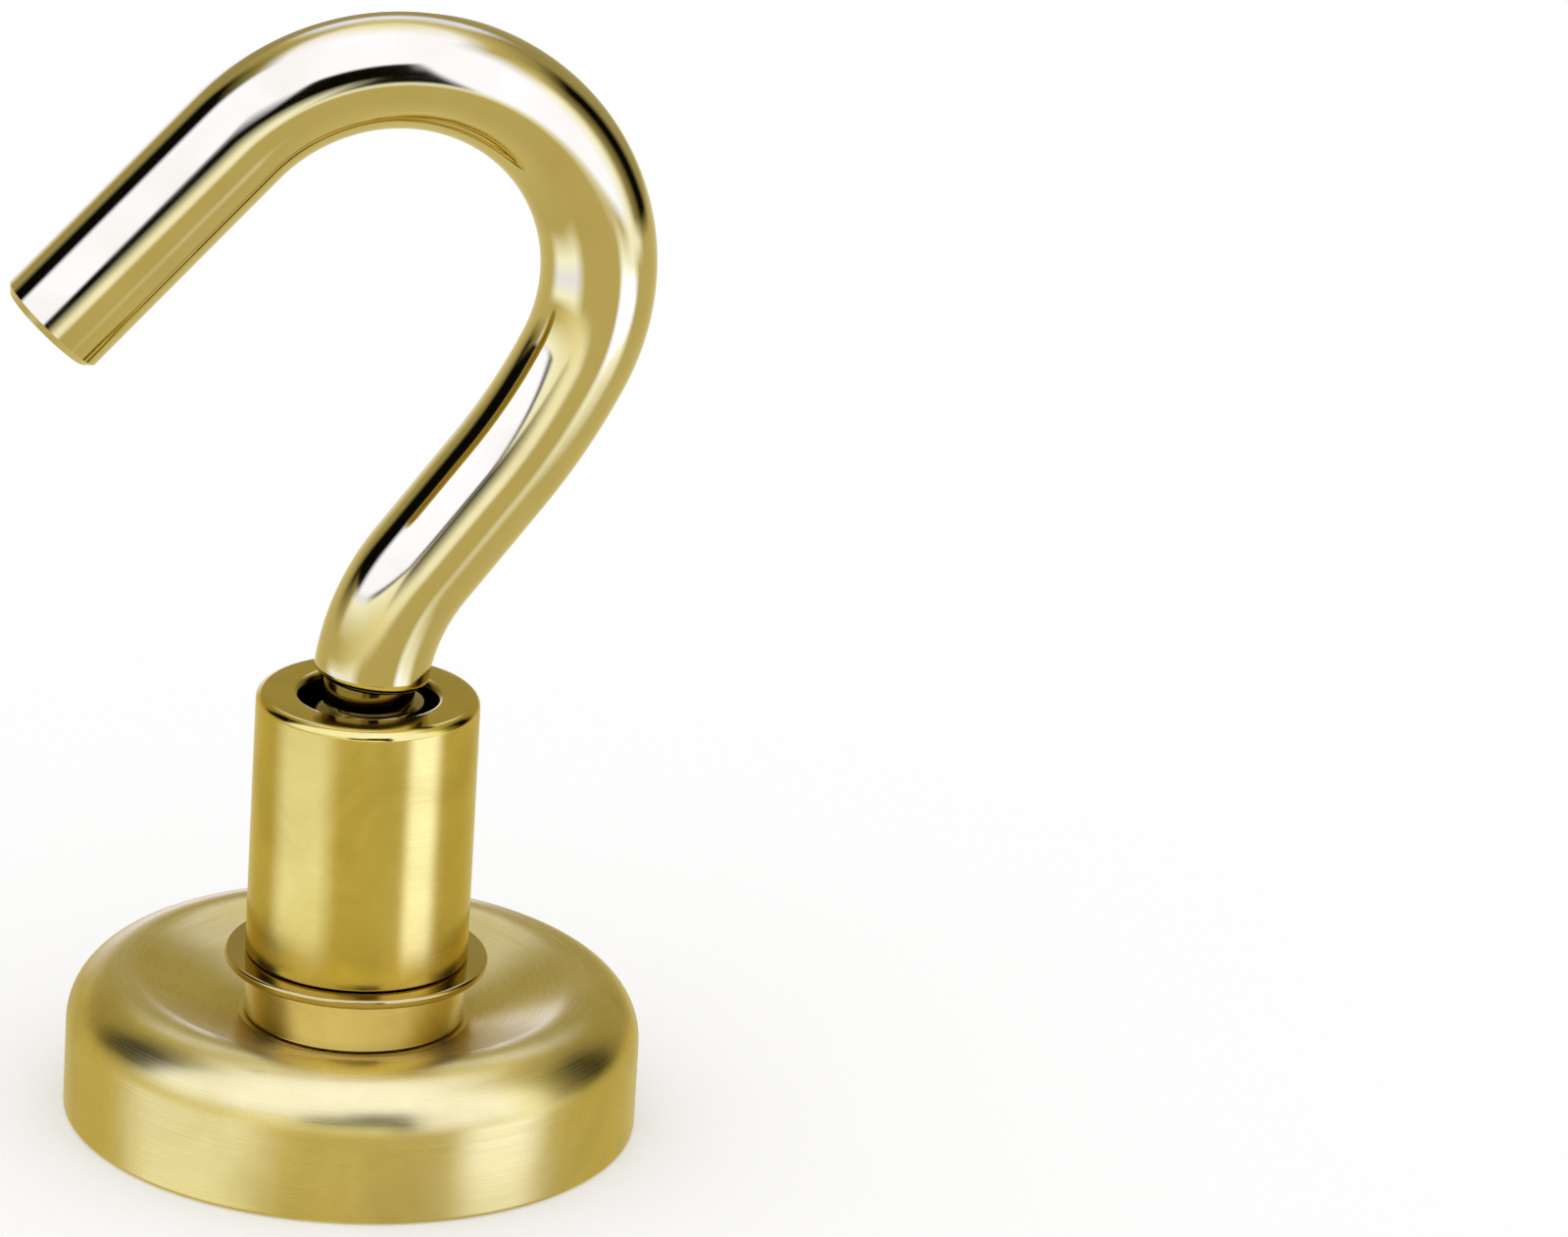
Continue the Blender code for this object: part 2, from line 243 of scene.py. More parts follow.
# %% Sleeve
SLEEVE_RADIUS = 3.88 * MM
SLEEVE_FOOT = 6.02 * MM
SLEEVE_TOP = 15.62 * MM
MOUTH_RADIUS = 2.375 * MM
MOUTH_FLOOR = 13.02 * MM
THREAD_BORE = 1.975 * MM
THREAD_BORE_FOOT = 8.6 * MM
DRILL_TIP = 7.4 * MM
SPIGOT_RADIUS = 2.4 * MM
SPIGOT_EDGE = 0.02 * MM
RIVET_RADIUS = 3.1 * MM
RIVET_FOOT = 2.55 * MM
RIVET_TOP = 2.97 * MM
RIVET_EDGE = 0.08 * MM
PUNCH_RADIUS = 1.3 * MM
PUNCH_TIP = 3.15 * MM
LIP_OUTSIDE = 0.35 * MM
LIP_INSIDE = 0.3 * MM
sleeve_body = turn_piece("sleeve_body", [
    (0, PUNCH_TIP, 0),
    (PUNCH_RADIUS, RIVET_FOOT, SOFT_EDGE),
    (RIVET_RADIUS, RIVET_FOOT, RIVET_EDGE),
    (RIVET_RADIUS, RIVET_TOP, RIVET_EDGE),
    (SPIGOT_RADIUS, RIVET_TOP, SPIGOT_EDGE),
    (SPIGOT_RADIUS, SLEEVE_FOOT, SPIGOT_EDGE),
    (SLEEVE_RADIUS, SLEEVE_FOOT, SOFT_EDGE),
    (SLEEVE_RADIUS, SLEEVE_TOP, LIP_OUTSIDE),
    (MOUTH_RADIUS, SLEEVE_TOP, LIP_INSIDE),
    (MOUTH_RADIUS, MOUTH_FLOOR, SOFT_EDGE),
    (THREAD_BORE, MOUTH_FLOOR, SOFT_EDGE),
    (THREAD_BORE, THREAD_BORE_FOOT, SOFT_EDGE),
    (0, DRILL_TIP, 0),
])
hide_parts("threaded_sleeve")
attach(sleeve_body, "hook")

# %% [markdown]
# The hook is one piece of 4 mm wire. It is cold-bent round formers, so its path is only straight
# stretches and true arcs. We draw it in the same way: a ring of vertices is extruded along the
# heading, or spun about a former's axis, one small step at a time. Each vertex also gets the
# attribute wire_place, its place across the wire and its distance along it, because drawn wire has
# its finest marks along its length, and a pattern needs a way to follow the bends.

# %% A wire drawn ring by ring
class WireFormer:
    """Draws round wire up along its path in the X-Z plane."""

    def __init__(self, radius, height, sides):
        self.bm = bmesh.new()
        self.place = Vector((0, 0, height))
        self.heading = math.pi / 2
        self.radius = radius
        self.length = 0.0
        self.layer = self.bm.verts.layers.float_vector.new("wire_place")
        made = bmesh.ops.create_circle(
            self.bm, segments=sides, radius=radius, matrix=Matrix.Translation(self.place),
        )
        self.verts = made["verts"]
        for vert in self.verts:
            vert[self.layer] = (vert.co.x, vert.co.y, 0)
        self.edges = list({edge for vert in self.verts for edge in vert.link_edges})

    def take(self, geom, length):
        """Make the new ring the newest one, and note how far along the wire it lies."""
        self.verts = [item for item in geom if isinstance(item, bmesh.types.BMVert)]
        ring = set(self.verts)
        edges = [item for item in geom if isinstance(item, bmesh.types.BMEdge)]
        self.edges = [edge for edge in edges if set(edge.verts) <= ring]
        self.length += length
        for vert in self.verts:
            across = vert[self.layer]
            vert[self.layer] = (across[0], across[1], self.length)

    def resize(self, radius):
        """Give the newest ring another radius."""
        factor = radius / self.radius
        bmesh.ops.scale(
            self.bm, verts=self.verts, vec=(factor,) * 3, space=Matrix.Translation(-self.place),
        )
        for vert in self.verts:
            across = vert[self.layer]
            vert[self.layer] = (across[0] * factor, across[1] * factor, across[2])
        self.radius = radius

    def straight(self, length, steps=1):
        """Draw the wire on along its heading."""
        step = Vector((math.cos(self.heading), 0, math.sin(self.heading))) * length / steps
        for index in range(steps):
            geom = bmesh.ops.extrude_edge_only(self.bm, edges=self.edges)["geom"]
            self.take(geom, length / steps)
            bmesh.ops.translate(self.bm, verts=self.verts, vec=step)
            self.place = self.place + step

    def bend(self, radius, degrees):
        """Bend the wire round a former: a positive angle turns it towards -X."""
        angle = math.radians(degrees)
        left = Vector((-math.sin(self.heading), 0, math.cos(self.heading)))
        pivot = self.place + left * math.copysign(radius, angle)
        steps = max(2, math.ceil(abs(degrees) / 1.5))
        for index in range(steps):
            made = bmesh.ops.spin(
                self.bm, geom=self.edges, cent=pivot, axis=(0, 1, 0), angle=-angle / steps, steps=1,
            )
            self.take(made["geom_last"], radius * abs(angle) / steps)
        self.place = pivot + Matrix.Rotation(-angle, 3, "Y") @ (self.place - pivot)
        self.heading += angle

    def cap(self):
        """Close the newest ring with one flat face."""
        bmesh.ops.edgeloop_fill(self.bm, edges=self.edges)


# %% [markdown]
# The lower end carries an M4 thread, cut into the wire and running out below the shoulder. A thread
# is a wave that climbs one pitch for each turn. So we draw the stretch in many thin rings and set
# each vertex's radius from the wave: the height less the share of a turn that the vertex has made.
# The wave's depth fades in over the first pitch. Below the shoulder the wire is turned down to the
# thread's root, and the bend starts there. Then come the shoulder, the limb round two formers, the
# crook and the arm, whose tip is cut square with a small bevel.

# %% Hook wire
WIRE_RADIUS = 2.0 * MM
CREST_RADIUS = 1.925 * MM
ROOT_RADIUS = 1.6 * MM
PITCH = 0.7 * MM
THREAD_END = 8.62 * MM
BEND_START = 15.42 * MM
RUNOUT = 0.9 * MM
THREAD_RINGS = 128
END_BEVEL = 0.4 * MM
SHOULDER_BEVEL = 0.15 * MM
TIP_BEVEL = 0.25 * MM
LOWER_FORMER = 7.85 * MM
LOWER_BEND = 37.2
LIMB_LENGTH = 4.24 * MM
LIMB_FORMER = 22.4 * MM
LIMB_BEND = 12.0
CROOK_FORMER = 7.33 * MM
CROOK_BEND = 162.2
ARM_LENGTH = 8.91 * MM


def thread_radius(height, turn):
    """Radius of an M4 thread at a height, after a share of a turn."""
    wave = abs(2 * ((height / PITCH - turn) % 1.0) - 1)
    tooth = min(max(1.35 * wave - 0.15, 0.0), 1.0)
    fade = min(max((height - THREAD_END) / PITCH, 0.0), 1.0)
    return CREST_RADIUS - (CREST_RADIUS - ROOT_RADIUS) * (1 - tooth) * fade


wire = WireFormer(CREST_RADIUS - END_BEVEL, THREAD_END, sides=96)
wire.cap()
wire.straight(END_BEVEL)
wire.resize(CREST_RADIUS)
ring_height = (BEND_START - THREAD_END - END_BEVEL) / THREAD_RINGS
for index in range(THREAD_RINGS):
    wire.straight(ring_height)
    for vert in wire.verts:
        turn = math.atan2(vert.co.y, vert.co.x) / math.tau
        radius = thread_radius(vert.co.z, turn)
        vert.co.xy = vert.co.xy.normalized() * radius
for vert in wire.verts:
    vert.co.xy = vert.co.xy.normalized() * ROOT_RADIUS
wire.radius = ROOT_RADIUS
runout_degrees = math.degrees(RUNOUT / LOWER_FORMER)
wire.bend(LOWER_FORMER, -runout_degrees)
THREAD_LENGTH = wire.length
wire.resize(CREST_RADIUS)
wire.straight(SHOULDER_BEVEL)
wire.resize(WIRE_RADIUS)
wire.bend(LOWER_FORMER, runout_degrees - LOWER_BEND)
wire.straight(LIMB_LENGTH, steps=4)
wire.bend(LIMB_FORMER, LIMB_BEND)
wire.bend(CROOK_FORMER, CROOK_BEND)
wire.straight(ARM_LENGTH, steps=8)
wire.straight(TIP_BEVEL)
wire.resize(WIRE_RADIUS - TIP_BEVEL)
wire.cap()
print(f"wire drawn: {wire.length / MM:.1f} mm")
hook_wire = finish_piece("hook_wire", wire.bm, sharp_degrees=40)
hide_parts("wire_hook")
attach(hook_wire, "hook")

# %% [markdown]
# A material is a small net of nodes. A few helpers keep the nets short: one adds a node and sets its
# sockets, by name or, after an underscore, by number; one starts a material with its Principled
# shader; and three make the mix, the range and the noise that every finish here needs. Numbers that
# hold for the whole surface are set on the shader itself, so that an export keeps them.

# %% Node helpers
def add_node(tree, kind, settings=None, **sockets):
    """A node of a kind, with its own settings and its sockets' values or incoming links."""
    node = tree.nodes.new(kind)
    for name, value in (settings or {}).items():
        setattr(node, name, value)
    for name, value in sockets.items():
        number = name[1:]
        socket = node.inputs[int(number) if number.isdigit() else name.replace("_", " ")]
        if isinstance(value, bpy.types.NodeSocket):
            tree.links.new(value, socket)
        else:
            socket.default_value = value
    return node


def start_material(name, **sockets):
    """A material, its tree and its Principled shader, with the given sockets set."""
    material = bpy.data.materials.new(name)
    material.use_nodes = True
    shader = material.node_tree.nodes["Principled BSDF"]
    for socket, value in sockets.items():
        shader.inputs[socket.replace("_", " ")].default_value = value
    return material, material.node_tree, shader


def mix_colours(tree, share, first, second):
    """The colour between two, by a share from a socket."""
    mix = add_node(tree, "ShaderNodeMix", {"data_type": "RGBA"})
    tree.links.new(share, mix.inputs[0])
    for socket, value in ((mix.inputs[6], first), (mix.inputs[7], second)):
        if isinstance(value, bpy.types.NodeSocket):
            tree.links.new(value, socket)
        else:
            socket.default_value = (*value, 1.0)
    return mix.outputs[2]


def map_range(tree, value, low, high, to_low, to_high):
    """A socket's range stretched onto another range, held at both ends."""
    node = add_node(tree, "ShaderNodeMapRange", None, Value=value)
    names = ("From Min", "From Max", "To Min", "To Max")
    for name, number in zip(names, (low, high, to_low, to_high)):
        node.inputs[name].default_value = number
    return node.outputs[0]


def noise(tree, vector, scale, detail=2.0, roughness=0.5, distortion=0.0):
    """Noise on a vector, one value from 0 to 1."""
    node = add_node(
        tree, "ShaderNodeTexNoise", None, Vector=vector, Scale=scale, Detail=detail,
        Roughness=roughness, Distortion=distortion,
    )
    return node.outputs[0]


# %% [markdown]
# Cup and sleeve are turned, then plated satin gold. The lathe leaves hair-fine rings round the axis,
# so their pattern needs the distance from the axis and the height, and changes only slowly round
# the piece. Rings also spread a reflection across them, up and down the wall: that is what the
# shader's anisotropy does, with its tangent laid round Z and turned by a quarter. Over the rings lie
# cloudy smudges, where fingers and polish have left the plating a little duller and darker. Within
# its mouth's radius the sleeve is painted nearly black, as painted shade in its bore, while its lip
# is worn smooth. Any metal turns white at a grazing angle; the edge tint keeps that rim of light
# golden.

# %% Satin gold
EDGE_TINT = (1.0, 0.93, 0.62, 1.0)
BORE_SHADE = (0.05, 0.03, 0.004)
RING_DRIFT = 0.00003


def turned_place(tree):
    """Object coordinates, the same as rings about Z with a slight drift, reach and height."""
    place = add_node(tree, "ShaderNodeTexCoord").outputs["Object"]
    parts = add_node(tree, "ShaderNodeSeparateXYZ", None, Vector=place)
    x, y, height = parts.outputs
    flat = add_node(tree, "ShaderNodeCombineXYZ", None, X=x, Y=y)
    reach = add_node(tree, "ShaderNodeVectorMath", {"operation": "LENGTH"}, _0=flat.outputs[0])
    way = add_node(tree, "ShaderNodeVectorMath", {"operation": "NORMALIZE"}, _0=flat.outputs[0])
    drift = add_node(tree, "ShaderNodeVectorMath", {"operation": "SCALE"}, _0=way.outputs[0])
    drift.inputs["Scale"].default_value = RING_DRIFT
    rings = add_node(tree, "ShaderNodeCombineXYZ", None, X=reach.outputs["Value"], Z=height)
    total = add_node(tree, "ShaderNodeVectorMath", {"operation": "ADD"}, _0=rings.outputs[0])
    tree.links.new(drift.outputs[0], total.inputs[1])
    return place, total.outputs[0], reach.outputs["Value"], height


def satin_gold(name, clear, cloudy, dull, rings, bore=0.0, lip=0.0):
    """Turned, plated gold: two tones, a roughness span, its rings' depth, its bore's radius, within
    which shade is painted nearly black, and its lip.
    """
    material, tree, shader = start_material(
        name, Metallic=1.0, Anisotropic=0.5, Anisotropic_Rotation=0.25,
        Coat_Weight=0.08, Coat_Roughness=0.2, Coat_IOR=1.5, Specular_Tint=EDGE_TINT,
    )
    place, ring_place, reach, height = turned_place(tree)
    clouds = noise(tree, place, 260.0, 4.0, 0.55, 0.6)
    smudges = noise(tree, place, 90.0, 3.0, 0.5, 1.2)
    fine = noise(tree, ring_place, 26000.0, 2.0, 0.6)
    broad = noise(tree, ring_place, 5200.0, 2.0, 0.5)
    tone = mix_colours(tree, map_range(tree, clouds, 0.38, 0.68, 0, 1), clear, cloudy)
    smudged = [value * 0.72 for value in cloudy]
    tone = mix_colours(tree, map_range(tree, smudges, 0.54, 0.72, 0, 0.6), tone, smudged)
    # Painted shade: within the bore's radius the colour goes nearly black.
    inside = map_range(tree, reach, bore, bore + 0.2 * MM, 1.0, 0.0)
    tone = mix_colours(tree, inside, tone, BORE_SHADE)
    tree.links.new(tone, shader.inputs["Base Color"])
    rough = map_range(tree, fine, 0.3, 0.7, dull[0], dull[1])
    patch = map_range(tree, smudges, 0.5, 0.75, 0.0, 0.1)
    both = add_node(tree, "ShaderNodeMath", {"operation": "ADD"}, _0=rough, _1=patch)
    polish = map_range(tree, height, SLEEVE_TOP - 0.4 * MM, SLEEVE_TOP - 0.25 * MM, 0.0, -lip)
    both = add_node(tree, "ShaderNodeMath", {"operation": "ADD"}, _0=both.outputs[0], _1=polish)
    tree.links.new(both.outputs[0], shader.inputs["Roughness"])
    height_sum = add_node(tree, "ShaderNodeMath", {"operation": "ADD"}, _0=fine, _1=broad)
    bump = add_node(
        tree, "ShaderNodeBump", None, Height=height_sum.outputs[0], Strength=rings, Distance=0.000002,
    )
    tree.links.new(bump.outputs[0], shader.inputs["Normal"])
    tangent = add_node(tree, "ShaderNodeTangent", {"direction_type": "RADIAL", "axis": "Z"})
    tree.links.new(tangent.outputs[0], shader.inputs["Tangent"])
    return material


cup_gold = satin_gold(
    "cup_satin_gold", clear=(0.6, 0.45, 0.095), cloudy=(0.53, 0.39, 0.075),
    dull=(0.24, 0.32), rings=0.3,
)
sleeve_gold = satin_gold(
    "sleeve_satin_gold", clear=(0.58, 0.42, 0.065), cloudy=(0.49, 0.345, 0.045),
    dull=(0.19, 0.26), rings=0.25, bore=MOUTH_RADIUS + 0.02 * MM, lip=0.1,
)
magnet_cup.data.materials.append(cup_gold)
sleeve_body.data.materials.append(sleeve_gold)
print("satin gold on cup and sleeve")

# %% [markdown]
# Hook, neck and washer are bright gold. A mirror is never quite clean: it has hair-fine scratches
# from drawing and wiping, and its roughness changes a little from place to place. On the wire the
# scratches follow the attribute wire_place, so they run along every bend, and the thread is painted
# dark brown, as painted shade in the sleeve's mouth. A thin clear coat stands for the lacquer that
# keeps the plating from tarnishing.

# %% Bright gold
THREAD_SHADE = (0.2, 0.14, 0.01)


def bright_gold(name, light, deep, along_wire, coat):
    """Mirror gold with fine scratches and a thin clear coat."""
    material, tree, shader = start_material(
        name, Metallic=1.0, Coat_Weight=coat, Coat_Roughness=0.05, Coat_IOR=1.6,
        Specular_Tint=EDGE_TINT,
    )
    place = add_node(tree, "ShaderNodeTexCoord").outputs["Object"]
    if along_wire:
        wire_place = add_node(tree, "ShaderNodeAttribute", {"attribute_name": "wire_place"})
        source = wire_place.outputs["Vector"]
        stretched = add_node(
            tree, "ShaderNodeMapping", None, Vector=source, Scale=(9000, 9000, 260),
        )
        marks = noise(tree, stretched.outputs[0], 1.0, 2.0, 0.6)
    else:
        marks = noise(tree, turned_place(tree)[1], 16000.0, 2.0, 0.6)
    clouds = noise(tree, place, 300.0, 3.0, 0.5, 0.4)
    tone = mix_colours(tree, map_range(tree, clouds, 0.35, 0.7, 0, 1), light, deep)
    if along_wire:
        # Painted shade: the thread below the shoulder is coloured dark brown.
        length = add_node(tree, "ShaderNodeSeparateXYZ", None, Vector=source).outputs[2]
        cut = map_range(tree, length, THREAD_LENGTH, THREAD_LENGTH + SHOULDER_BEVEL, 1.0, 0.0)
        tone = mix_colours(tree, cut, tone, THREAD_SHADE)
    tree.links.new(tone, shader.inputs["Base Color"])
    hairs = map_range(tree, marks, 0.62, 0.78, 0.0, 0.05)
    dull = map_range(tree, clouds, 0.4, 0.75, 0.06, 0.1)
    both = add_node(tree, "ShaderNodeMath", {"operation": "ADD"}, _0=hairs, _1=dull)
    tree.links.new(both.outputs[0], shader.inputs["Roughness"])
    bump = add_node(tree, "ShaderNodeBump", None, Height=marks, Strength=0.08, Distance=0.000001)
    tree.links.new(bump.outputs[0], shader.inputs["Normal"])
    return material


# Hook, neck and washer share one plating. The neck's gold is paler than the hook's, as painted light
# that makes its reflections whiter, and the washer's is darker, as painted shade between bush and
# sleeve.
for piece, name, light, deep, along_wire, coat in (
    (hook_wire, "hook_bright_gold", (0.57, 0.45, 0.13), (0.53, 0.41, 0.11), True, 0.45),
    (neck_collar, "neck_gold_painted_light", (0.68, 0.54, 0.2), (0.6, 0.46, 0.15), False, 0.5),
    (washer_disc, "washer_gold_painted_shade", (0.46, 0.32, 0.05), (0.36, 0.24, 0.035), False, 0.3),
):
    piece.data.materials.append(bright_gold(name, light, deep, along_wire, coat))
    print(f"{name} on {piece.name}")

# %% [markdown]
# The magnet is nickel over a sintered core: bright but slightly grainy, with a worn face. The resin
# is nearly black and set with a soft gloss.

# %% Nickel and resin
material, tree, shader = start_material("magnet_nickel", Metallic=1.0)
place = add_node(tree, "ShaderNodeTexCoord").outputs["Object"]
grain = noise(tree, place, 4200.0, 3.0, 0.6)
wear = noise(tree, place, 900.0, 5.0, 0.65, 0.3)
worn = map_range(tree, wear, 0.45, 0.7, 0, 1)
tone = mix_colours(tree, worn, (0.58, 0.58, 0.56), (0.49, 0.48, 0.45))
tree.links.new(tone, shader.inputs["Base Color"])
tree.links.new(map_range(tree, wear, 0.35, 0.7, 0.28, 0.42), shader.inputs["Roughness"])
bump = add_node(tree, "ShaderNodeBump", None, Height=grain, Strength=0.25, Distance=0.000004)
tree.links.new(bump.outputs[0], shader.inputs["Normal"])
magnet_plate.data.materials.append(material)

material, tree, shader = start_material("potting_resin", IOR=1.55)
place = add_node(tree, "ShaderNodeTexCoord").outputs["Object"]
flow = noise(tree, place, 700.0, 3.0, 0.5, 0.5)
tone = mix_colours(tree, flow, (0.035, 0.03, 0.026), (0.07, 0.06, 0.045))
tree.links.new(tone, shader.inputs["Base Color"])
tree.links.new(map_range(tree, flow, 0.3, 0.7, 0.18, 0.4), shader.inputs["Roughness"])
bump = add_node(tree, "ShaderNodeBump", None, Height=flow, Strength=0.3, Distance=0.00002)
tree.links.new(bump.outputs[0], shader.inputs["Normal"])
resin_fill.data.materials.append(material)
print("nickel on the magnet, resin round it")

# %% [markdown]
# Bright metal shows its surroundings, so the backdrop is a part of the finish. Here it is a light
# tent: a profile spun about the hook's axis, where each ring has a row in a table that names the
# light at some azimuths, in degrees from the camera's direction. Between the named places the light
# fades evenly. Gold swallows most of the blue in its light, so the bright walls glow in a strong
# blue white: their reflection then comes out pale instead of lemon. Only reflections see the tent,
# so the light on a matte surface stays at the world's plain level.

# %% Tent lights
CAMERA_AZIMUTH = 346.0
LIGHTS = {
    "black": (0.005, 0.005, 0.004),
    "dusk": (0.5, 0.48, 0.38),
    "dim": (0.8, 0.77, 0.62),
    "plain": (0.98, 0.99, 0.92),
    "warm": (1.36, 1.45, 1.9),
    "butter": (1.6, 1.88, 3.6),
    "cream": (1.35, 1.65, 4.9),
    "white": (1.75, 2.15, 6.6),
    "lamp": (2.5, 3.2, 12.0),
}

glow = bpy.data.materials.new("glow")
glow.use_nodes = True
glow.cycles.emission_sampling = "NONE"
glow.node_tree.nodes.clear()
paint = add_node(glow.node_tree, "ShaderNodeAttribute", {"attribute_name": "light"})
shine = add_node(
    glow.node_tree, "ShaderNodeEmission", None, Color=paint.outputs["Color"], Strength=1.0,
)
add_node(glow.node_tree, "ShaderNodeOutputMaterial", None, Surface=shine.outputs[0])
print("lights:", ", ".join(LIGHTS))


def light_at(stops, azimuth):
    """The light at an azimuth, between the two nearest stops."""
    for (start, first), (end, second) in zip(stops, stops[1:]):
        if azimuth <= end:
            return first.lerp(second, max(0.0, azimuth - start) / (end - start))
    return stops[-1][1]


# %% [markdown]
# The tent is spun like the turned pieces, from a profile with one point for each row. Its light is
# painted on the vertices: each looks up the row at its height, and in it the light at its azimuth.

# %% Spin and paint a tent
SPIN_STEPS = 180


def read_stops(text):
    """The (azimuth, light) pairs that a row's text names."""
    pairs = [item.split() for item in text.split(",")]
    return [(float(azimuth), Vector(LIGHTS[light])) for azimuth, light in pairs]


def spin_tent(name, rows):
    """Spin the rows' (r, z) points about Z, and paint each ring by its row."""
    table = [(r * MM, z * MM, read_stops(text)) for r, z, text in rows]
    back = math.radians(CAMERA_AZIMUTH - 180)
    out = Vector((math.sin(back), -math.cos(back), 0))
    bm = bmesh.new()
    verts = [bm.verts.new(out * r + Vector((0, 0, z))) for r, z, stops in table]
    edges = [bm.edges.new(pair) for pair in zip(verts, verts[1:])]
    bmesh.ops.spin(
        bm, geom=verts + edges, cent=(0, 0, 0), axis=(0, 0, 1),
        angle=math.tau, steps=SPIN_STEPS, use_merge=True,
    )
    bmesh.ops.remove_doubles(bm, verts=bm.verts, dist=1e-6)
    layer = bm.verts.layers.float_color.new("light")
    for vert in bm.verts:
        heading = math.degrees(math.atan2(vert.co.x, -vert.co.y)) - CAMERA_AZIMUTH
        azimuth = (heading + 180.5) % 360 - 180.5
        r, z, stops = min(
            table, key=lambda row: math.hypot(row[0] - vert.co.xy.length, row[1] - vert.co.z),
        )
        vert[layer] = (*light_at(stops, azimuth), 1.0)
    mesh = bpy.data.meshes.new(name)
    bm.to_mesh(mesh)
    bm.free()
    mesh.materials.append(glow)
    tent = bpy.data.objects.new(name, mesh)
    bpy.context.scene.collection.objects.link(tent)
    tent.visible_camera = False
    tent.visible_diffuse = False
    tent.visible_shadow = False
    print(f"{name}: {len(mesh.polygons)} painted faces")


# %% [markdown]
# The tent stands 450 mm away: white walls left and right under a white top, dark gaps between them,
# and a black opening for the camera. The bands in the wire are these walls. Below the horizon they
# are dimmer, with one bright panel left and one right: an upright wall sends the camera's ray
# downwards, so these two make the upright bands on cup and sleeve. A strip high at the back lights
# the cup's shoulder. Each row is a height on the wall, as an elevation in degrees.

# %% Tent
TENT_RADIUS = 450.0
TENT_CENTRE = 20.0
LEFT_GAP = "-126 dusk, -114 black, -90 black, -79 white"
RIGHT_WALL = "30 white, 66 white, 80 butter, 92 dusk, 110 black, 122 black, 136 dusk, 180 dusk"
LOW_PANELS = "-180 dim, -104 dim, -84 {0}, -42 {0}, -22 dim, 44 dim, 54 {1}, 76 {1}, 90 dim, 180 dim"
TENT = [
    # Dim cloth below, with the two low panels.
    (-76, "-180 plain, 180 plain"),
    (-40, "-180 dim, 180 dim"),
    (-28, LOW_PANELS.format("butter", "butter")),
    (-20, LOW_PANELS.format("cream", "lamp")),
    (-13, LOW_PANELS.format("butter", "butter")),
    # The walls' feet.
    (-8, "-180 dim, -84 dim, -60 plain, -10 warm, 18 butter, "
         "60 dim, 74 butter, 90 butter, 104 dim, 180 dim"),
    (-3, "-180 white, -150 dim, -84 dim, -60 plain, -20 warm, 18 butter, "
         "22 black, 29 black, " + RIGHT_WALL),
    (9, "-180 white, -150 dim, -126 dusk, -114 black, -96 dusk, -84 butter, -18 butter, "
        "-12 black, 28 black, " + RIGHT_WALL),
    # A dark seam over the left wall's foot.
    (11, "-180 dusk, -126 dusk, -114 black, -96 dusk, -80 cream, -60 cream, "
         "-46 black, 28 black, " + RIGHT_WALL),
    # The walls, and between them the camera's opening, which closes above 27 degrees.
    (13, "-180 dusk, " + LEFT_GAP + ", -17 white, -13 black, 28 black, " + RIGHT_WALL),
    (27, "-180 dusk, " + LEFT_GAP + ", 2 white, 5 black, 27 black, " + RIGHT_WALL),
    (31, "-180 dusk, " + LEFT_GAP + ", " + RIGHT_WALL),
    # The strip at the back, and the walls' tops under the ceiling.
    (40, "-180 cream, -158 cream, -146 dim, " + LEFT_GAP + ", "
         "66 white, 90 plain, 110 dusk, 146 dusk, 158 cream, 180 cream"),
    (54, "-180 plain, -112 dusk, -92 dusk, -80 white, 66 white, 95 dim, 180 plain"),
    (64, "-180 warm, -90 white, 90 white, 180 warm"),
]

rows = []
for elevation, text in TENT:
    height = TENT_CENTRE + TENT_RADIUS * math.tan(math.radians(elevation))
    rows.append((TENT_RADIUS, height, text))
ceiling = rows[-1][1]
rows.append((0, ceiling, "-180 white, 180 white"))
spin_tent("tent", rows)

# %% [markdown]
# The floor is a plain white sheet, and the world is an even white of strength 1, so a matte colour
# renders about as it is written. The sheet's light is topped up to just white for the camera, and
# the hook's soft shadow stays on it. Reflections don't see the sheet: the metal shows the tent's
# lower walls and the white world below the horizon, as on a small stand inside a tent.

# %% Floor and world
FLOOR_RADIUS = 1.5
FLOOR_DROP = 0.00002
CAMERA_TOP_UP = 0.16
bm = bmesh.new()
bmesh.ops.create_circle(
    bm, cap_ends=True, segments=96, radius=FLOOR_RADIUS,
    matrix=Matrix.Translation((0, 0, -FLOOR_DROP)),
)
mesh = bpy.data.meshes.new("floor")
bm.to_mesh(mesh)
bm.free()
floor = bpy.data.objects.new("floor", mesh)
bpy.context.scene.collection.objects.link(floor)
floor.visible_glossy = False

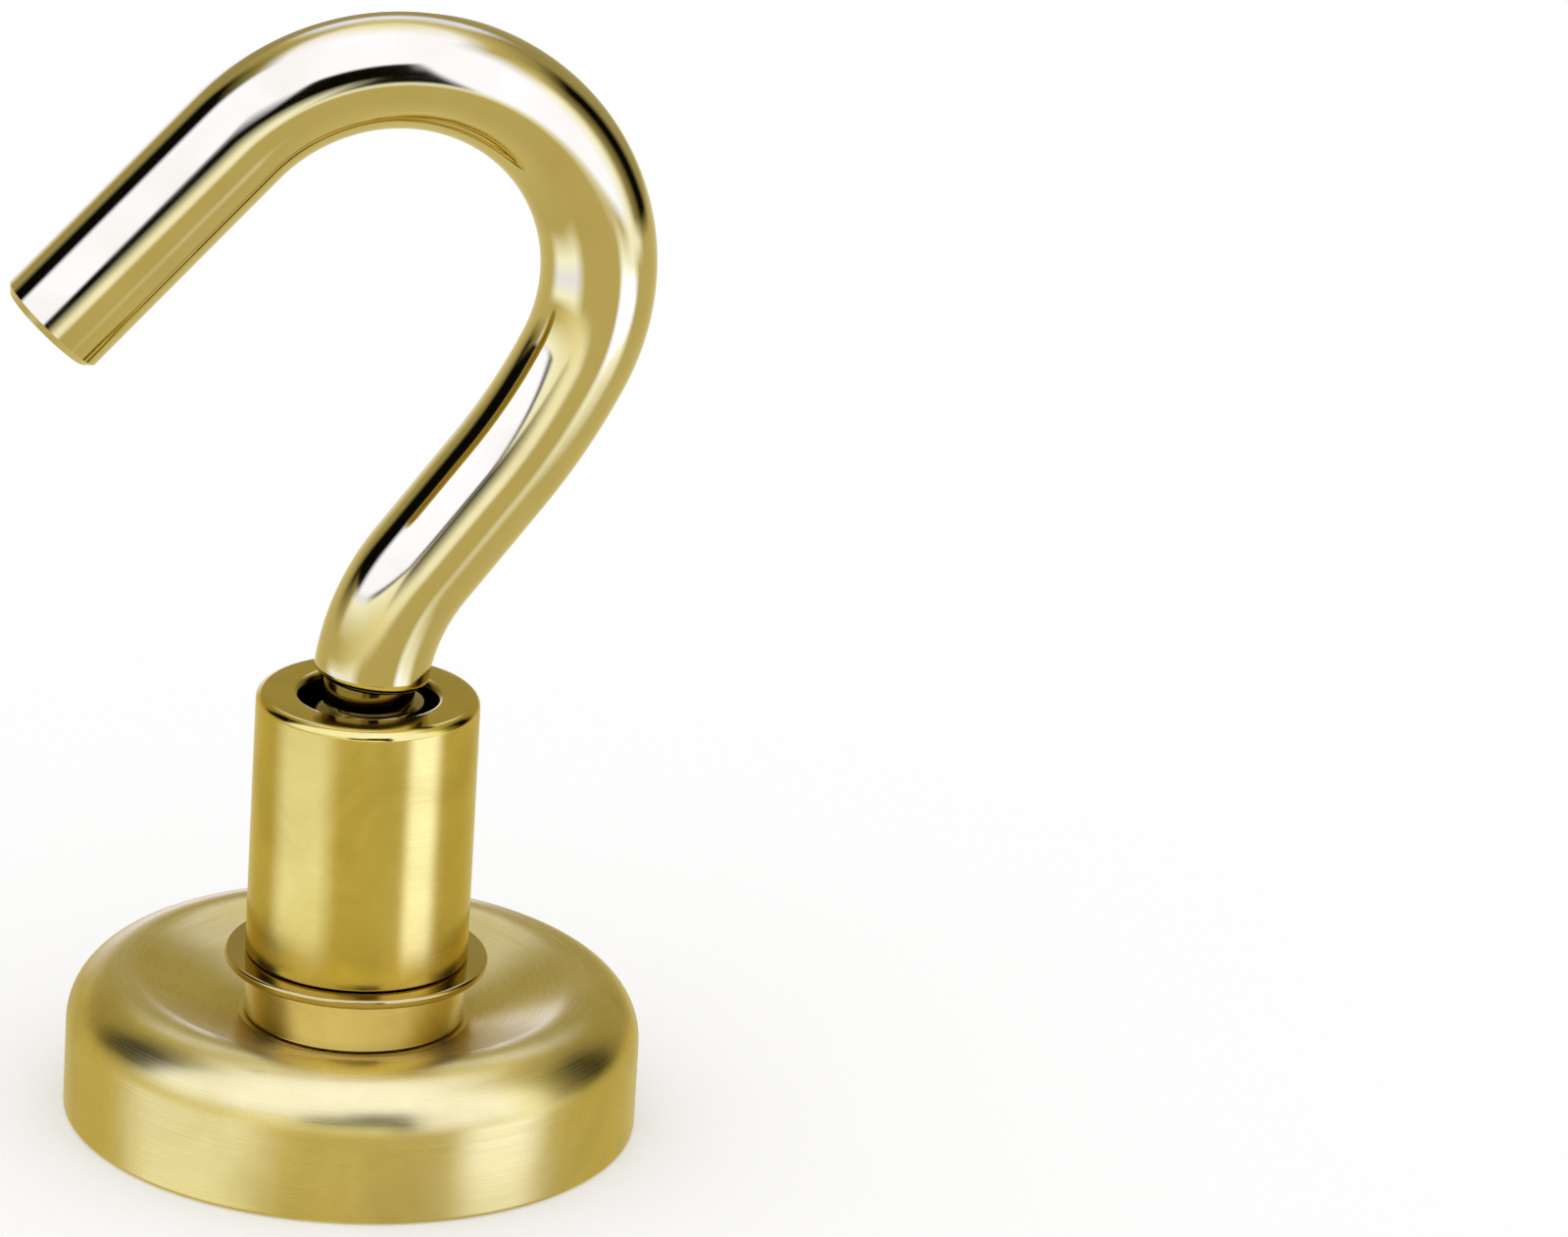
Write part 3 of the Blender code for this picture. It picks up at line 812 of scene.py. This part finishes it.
material, tree, shader = start_material("pale_floor", Roughness=0.9, Specular_IOR_Level=0.0)
shader.inputs["Base Color"].default_value = (0.84, 0.84, 0.84, 1.0)
shader.inputs["Emission Color"].default_value = (1, 1, 1, 1)
path = add_node(tree, "ShaderNodeLightPath")
top_up = add_node(
    tree, "ShaderNodeMath", {"operation": "MULTIPLY"},
    _0=path.outputs["Is Camera Ray"], _1=CAMERA_TOP_UP,
)
tree.links.new(top_up.outputs[0], shader.inputs["Emission Strength"])
floor.data.materials.append(material)

world = bpy.data.worlds.new("studio")
world.use_nodes = True
world.cycles.sampling_method = "NONE"
background = world.node_tree.nodes["Background"]
background.inputs["Color"].default_value = (1, 1, 1, 1)
background.inputs["Strength"].default_value = 1.0
bpy.context.scene.world = world
bpy.context.scene.view_settings.view_transform = "Standard"
print("floor, and a white world of strength 1")

# %% [markdown]
# The camera looks from the front, turned 14 degrees to the hook's left and tilted down by about 21
# degrees, from 350 mm away through a long lens. Its axes are worked out once, and the film isn't
# shifted, so the object's place in the picture comes from where the camera stands.

# %% Camera
DISTANCE = 350.0 * MM
ELEVATION = math.radians(20.54)
ROLL = math.radians(3.6)
TURN = math.radians(CAMERA_AZIMUTH - 360)
PICTURE_PX = (1600, 1262)
FOCAL_PX = 10192.0
ORIGIN_PX = (356.03, 1130.25)
SENSOR_WIDTH = 36.0

ahead = Vector((0, math.cos(ELEVATION), -math.sin(ELEVATION)))
side = Vector((1, 0, 0))
above = side.cross(ahead)
right = math.cos(ROLL) * side + math.sin(ROLL) * above
up = -math.sin(ROLL) * side + math.cos(ROLL) * above
off_x = (ORIGIN_PX[0] - PICTURE_PX[0] / 2) / FOCAL_PX
off_y = -(ORIGIN_PX[1] - PICTURE_PX[1] / 2) / FOCAL_PX
stand = -(ahead + right * off_x + up * off_y) * DISTANCE
turned = Matrix.Rotation(TURN, 4, "Z")
placed = Matrix((right, up, -ahead)).transposed().to_4x4()
placed.translation = stand

camera_data = bpy.data.cameras.new("camera")
camera_data.sensor_width = SENSOR_WIDTH
camera_data.lens = FOCAL_PX / PICTURE_PX[0] * SENSOR_WIDTH
camera_data.clip_start = 0.01
camera_data.clip_end = 10.0
camera = bpy.data.objects.new("camera", camera_data)
camera.matrix_world = turned @ placed
bpy.context.scene.collection.objects.link(camera)
bpy.context.scene.camera = camera
print("camera at mm:", [round(value / MM, 1) for value in camera.matrix_world.translation])
